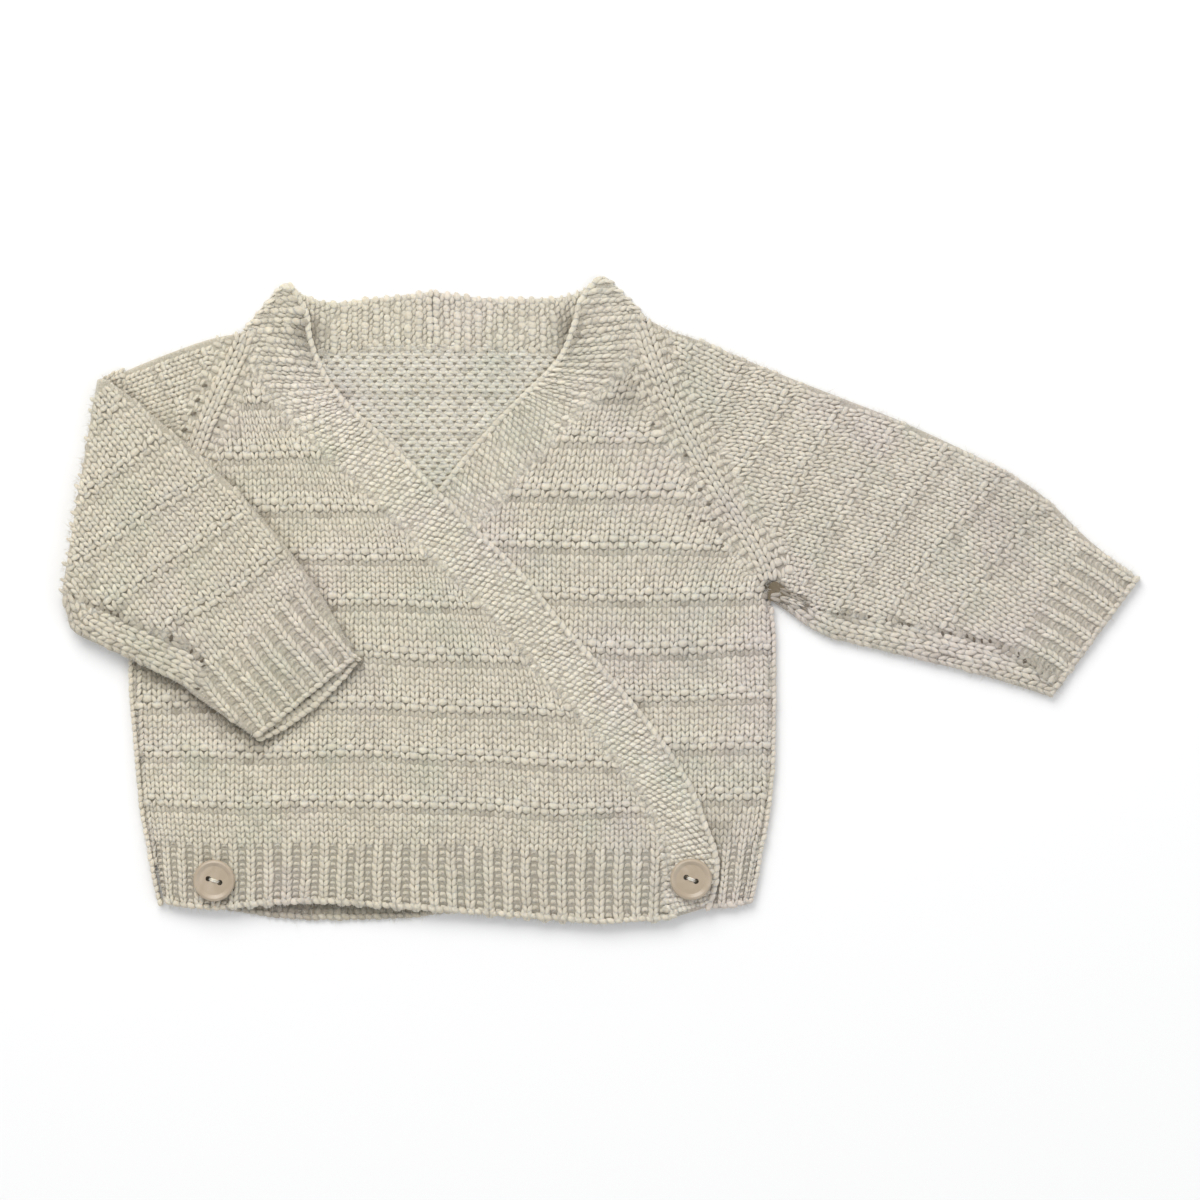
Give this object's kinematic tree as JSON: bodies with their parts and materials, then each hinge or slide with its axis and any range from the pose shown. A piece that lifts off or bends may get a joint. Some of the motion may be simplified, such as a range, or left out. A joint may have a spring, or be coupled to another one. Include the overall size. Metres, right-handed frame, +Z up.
{
  "type": "baby cardigan",
  "caption": "Hand-knitted baby wrap cardigan with raglan sleeves, garter bands and rib edges, laid flat on a surface with one sleeve folded over its front.",
  "frame": {"origin": "centre of the bounding box, on the surface that the garment lies on", "axes": "+Z up from the surface, +Y from the hem towards the neck, +X towards the wearer's left, which is the viewer's right"},
  "size_m": [0.4304, 0.2584, 0.0102],
  "materials": {
    "yarn": "cream wool yarn in a hand-knitted fabric, matt with a soft nap",
    "button": "beige button plastic with a soft satin face"
  },
  "bodies": {
    "root": {"back": "yarn", "left_front": "yarn", "right_front": "yarn", "left_sleeve": "yarn", "right_sleeve": "yarn", "left_band": "yarn", "right_band": "yarn", "button_side": "button", "button_band": "button"}
  },
  "joints": []
}
